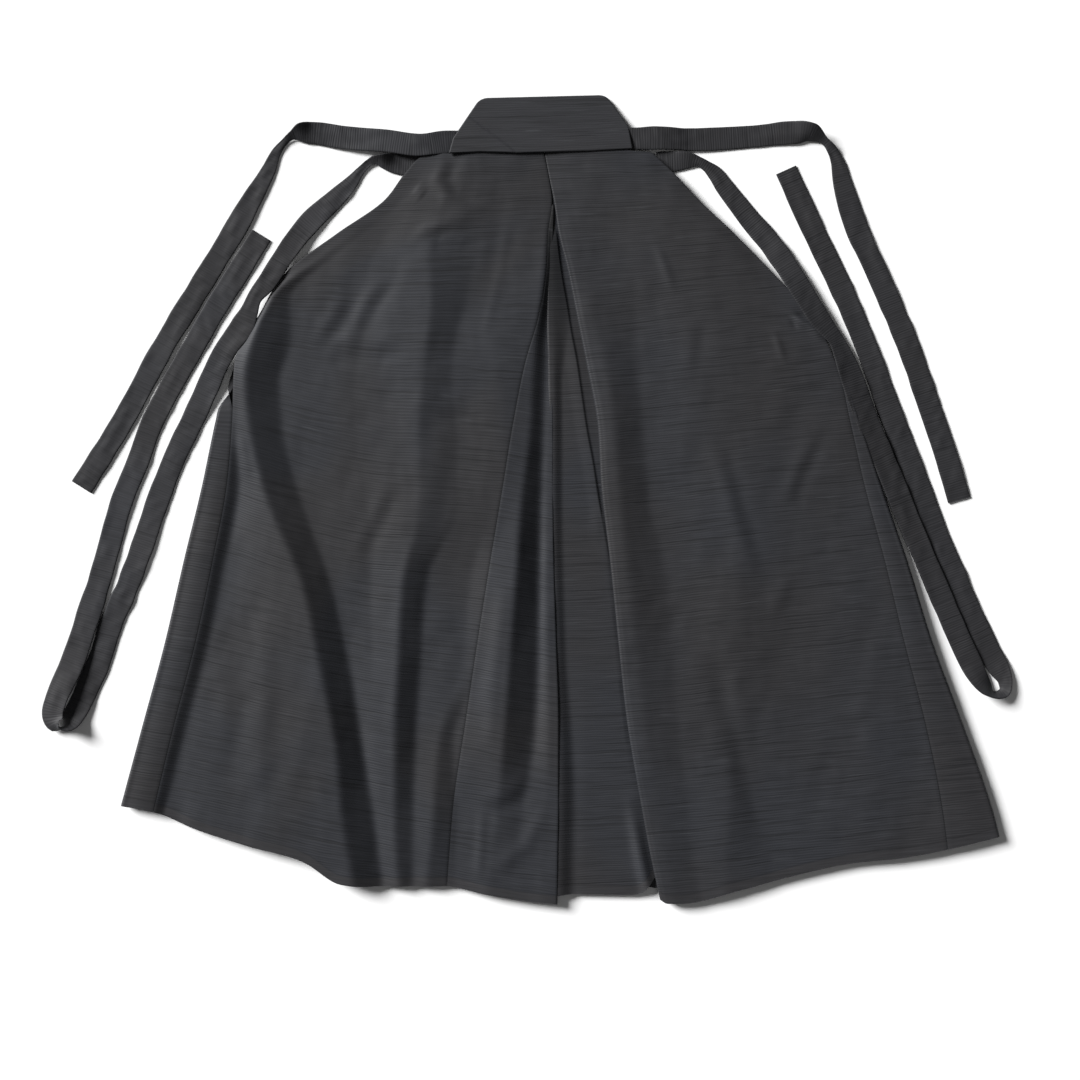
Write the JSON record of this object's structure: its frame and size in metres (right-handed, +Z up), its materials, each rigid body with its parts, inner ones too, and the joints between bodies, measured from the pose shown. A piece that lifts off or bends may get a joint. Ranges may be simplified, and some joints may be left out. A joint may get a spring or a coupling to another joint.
{
  "type": "hakama trousers laid flat",
  "caption": "Wide pleated wrap-tied trousers laid flat with the back side up: stiff waist board, open centre pleat, soft folds and long flat ties doubled back at both sides.",
  "frame": {"origin": "middle of the laid-out garment's bounding box, on the surface that it lies on", "axes": "+X across the garment to the viewer's right, +Y from the hem towards the waist board, +Z up from the surface"},
  "size_m": [1.1918, 0.9926, 0.0226],
  "materials": {
    "back_cloth": "charcoal slubbed weave with a slight sheen",
    "front_cloth": "charcoal slubbed weave with a slight sheen",
    "board_cloth": "charcoal slubbed weave stretched over a board",
    "tie_cloth": "charcoal slubbed weave, folded flat"
  },
  "bodies": {
    "root": {"koshi_ita": "board_cloth", "back_left_panel": "back_cloth", "left_inner_gore": "back_cloth", "right_inner_gore": "back_cloth", "back_right_panel": "back_cloth", "front_left_panel": "front_cloth", "front_right_panel": "front_cloth", "front_waistband": "front_cloth", "front_tie_left": "tie_cloth", "front_tie_right": "tie_cloth", "back_tie_left": "tie_cloth", "back_tie_right": "tie_cloth"}
  },
  "joints": []
}
